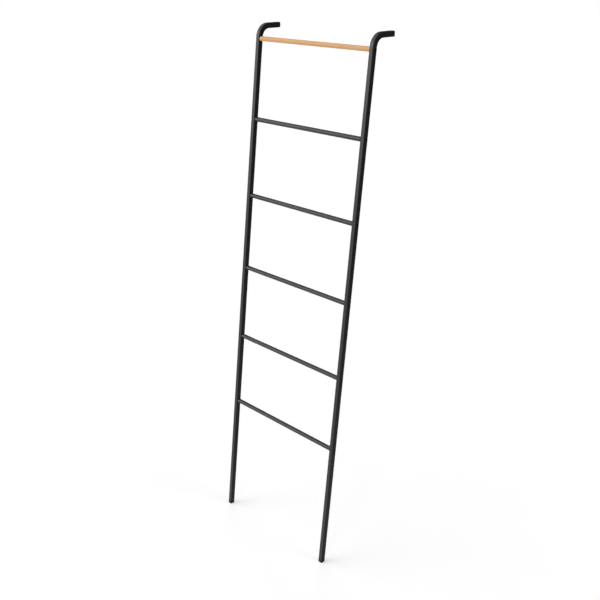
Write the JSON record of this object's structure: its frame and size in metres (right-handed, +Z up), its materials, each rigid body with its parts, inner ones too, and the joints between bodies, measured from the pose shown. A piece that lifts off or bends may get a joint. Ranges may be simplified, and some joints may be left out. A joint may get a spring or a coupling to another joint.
{
  "type": "leaning ladder rack",
  "caption": "Leaning ladder rack for quilts and blankets: black square-tube rails bent into short arms at the top, round black rungs and a wooden top rung.",
  "frame": {"origin": "on the floor, at the middle of the width and of the depth", "axes": "+Z up, +X along the rungs to the right as seen from the room, +Y back towards the wall"},
  "size_m": [0.454, 0.2598, 1.6],
  "materials": {
    "powder_coated_steel": "black satin powder coat",
    "oiled_wood": "light wood, oiled, fine lengthwise grain",
    "black_rubber": "moulded, matt",
    "black_oxide_steel": "black oxide",
    "zinc_plated_steel": "zinc plated",
    "brass": "machined"
  },
  "bodies": {
    "root": {"left_rail": "powder_coated_steel", "left_foot": "black_rubber", "left_wall_pad": "black_rubber", "right_rail": "powder_coated_steel", "right_foot": "black_rubber", "right_wall_pad": "black_rubber", "rung_1": "powder_coated_steel", "rung_1_insert_left": "zinc_plated_steel", "rung_1_screw_left": "black_oxide_steel", "rung_1_insert_right": "zinc_plated_steel", "rung_1_screw_right": "black_oxide_steel", "rung_2": "powder_coated_steel", "rung_2_insert_left": "zinc_plated_steel", "rung_2_screw_left": "black_oxide_steel", "rung_2_insert_right": "zinc_plated_steel", "rung_2_screw_right": "black_oxide_steel", "rung_3": "powder_coated_steel", "rung_3_insert_left": "zinc_plated_steel", "rung_3_screw_left": "black_oxide_steel", "rung_3_insert_right": "zinc_plated_steel", "rung_3_screw_right": "black_oxide_steel", "rung_4": "powder_coated_steel", "rung_4_insert_left": "zinc_plated_steel", "rung_4_screw_left": "black_oxide_steel", "rung_4_insert_right": "zinc_plated_steel", "rung_4_screw_right": "black_oxide_steel", "rung_5": "powder_coated_steel", "rung_5_insert_left": "zinc_plated_steel", "rung_5_screw_left": "black_oxide_steel", "rung_5_insert_right": "zinc_plated_steel", "rung_5_screw_right": "black_oxide_steel", "wooden_rung": "oiled_wood", "wooden_rung_insert_left": "brass", "wooden_rung_screw_left": "black_oxide_steel", "wooden_rung_insert_right": "brass", "wooden_rung_screw_right": "black_oxide_steel"}
  },
  "joints": []
}
